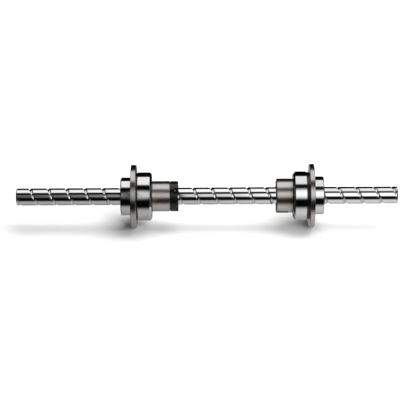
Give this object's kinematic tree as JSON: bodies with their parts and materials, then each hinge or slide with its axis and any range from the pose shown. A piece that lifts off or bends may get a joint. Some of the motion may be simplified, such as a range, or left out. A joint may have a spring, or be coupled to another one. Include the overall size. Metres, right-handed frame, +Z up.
{
  "type": "ball screw assembly",
  "caption": "Polished right-hand ball screw carrying two flanged, bearing-mounted rotary ball nuts that face each other tail to tail.",
  "frame": {"origin": "middle of the screw shaft, on its axis", "axes": "+X along the screw axis towards the short-nosed unit, +Z up"},
  "size_m": [0.421, 0.07, 0.07],
  "materials": {
    "shaft_steel": "polished",
    "ring_steel": "ground and polished",
    "nut_steel": "satin, collar polished",
    "ball_steel": "polished",
    "cap_plastic": "satin",
    "seal_rubber": "matte",
    "wiper_felt": "felt",
    "brass_screw": "satin",
    "dark_screw": "blackened"
  },
  "bodies": {
    "screw": {"screw_shaft": "shaft_steel"},
    "left_flange": {"left_flange_ring": "ring_steel", "left_outer_bearing_seal": "seal_rubber", "left_inner_bearing_seal": "seal_rubber", "left_grease_plug": "dark_screw"},
    "left_cages": {"left_outer_ball_cage": "ball_steel", "left_inner_ball_cage": "ball_steel"},
    "left_nut": {"left_ball_nut": "nut_steel", "left_loaded_balls": "ball_steel", "left_return_balls": "ball_steel", "left_collar_end_cap": "cap_plastic", "left_tail_end_cap": "cap_plastic", "left_collar_wiper": "wiper_felt", "left_tail_wiper": "wiper_felt", "left_collar_cap_screw_1": "brass_screw", "left_collar_cap_screw_2": "brass_screw", "left_tail_cap_screw_1": "brass_screw", "left_tail_cap_screw_2": "brass_screw", "left_tail_cap_screw_3": "brass_screw", "left_tail_cap_screw_4": "brass_screw"},
    "right_flange": {"right_flange_ring": "ring_steel", "right_outer_bearing_seal": "seal_rubber", "right_inner_bearing_seal": "seal_rubber", "right_grease_plug": "dark_screw"},
    "right_cages": {"right_outer_ball_cage": "ball_steel", "right_inner_ball_cage": "ball_steel"},
    "right_nut": {"right_ball_nut": "nut_steel", "right_loaded_balls": "ball_steel", "right_return_balls": "ball_steel", "right_collar_end_cap": "cap_plastic", "right_tail_end_cap": "cap_plastic", "right_collar_wiper": "wiper_felt", "right_tail_wiper": "wiper_felt", "right_collar_cap_screw_1": "brass_screw", "right_collar_cap_screw_2": "brass_screw", "right_tail_cap_screw_1": "brass_screw", "right_tail_cap_screw_2": "brass_screw"}
  },
  "joints": [
    {"name": "left_travel", "type": "slide", "parent": "screw", "child": "left_flange", "axis": [1, 0, 0], "range_m": [-0.11, 0.05]},
    {"name": "left_nut_spin", "type": "hinge", "parent": "left_flange", "child": "left_nut", "pos_m": [0, 0, 0], "axis": [1, 0, 0], "range_deg": [-1985, 905]},
    {"name": "left_cage_spin", "type": "hinge", "parent": "left_flange", "child": "left_cages", "pos_m": [0, 0, 0], "axis": [1, 0, 0], "range_deg": [-932, 426]},
    {"name": "right_travel", "type": "slide", "parent": "screw", "child": "right_flange", "axis": [1, 0, 0], "range_m": [-0.05, 0.076]},
    {"name": "right_nut_spin", "type": "hinge", "parent": "right_flange", "child": "right_nut", "pos_m": [0, 0, 0], "axis": [1, 0, 0], "range_deg": [-905, 1373]},
    {"name": "right_cage_spin", "type": "hinge", "parent": "right_flange", "child": "right_cages", "pos_m": [0, 0, 0], "axis": [1, 0, 0], "range_deg": [-426, 645]}
  ],
  "couplings": [
    {"joint": "left_nut_spin", "follows": "left_travel", "rad_per_m": 314.16},
    {"joint": "left_cage_spin", "follows": "left_travel", "rad_per_m": 147.03},
    {"joint": "right_nut_spin", "follows": "right_travel", "rad_per_m": 314.16},
    {"joint": "right_cage_spin", "follows": "right_travel", "rad_per_m": 147.03}
  ]
}
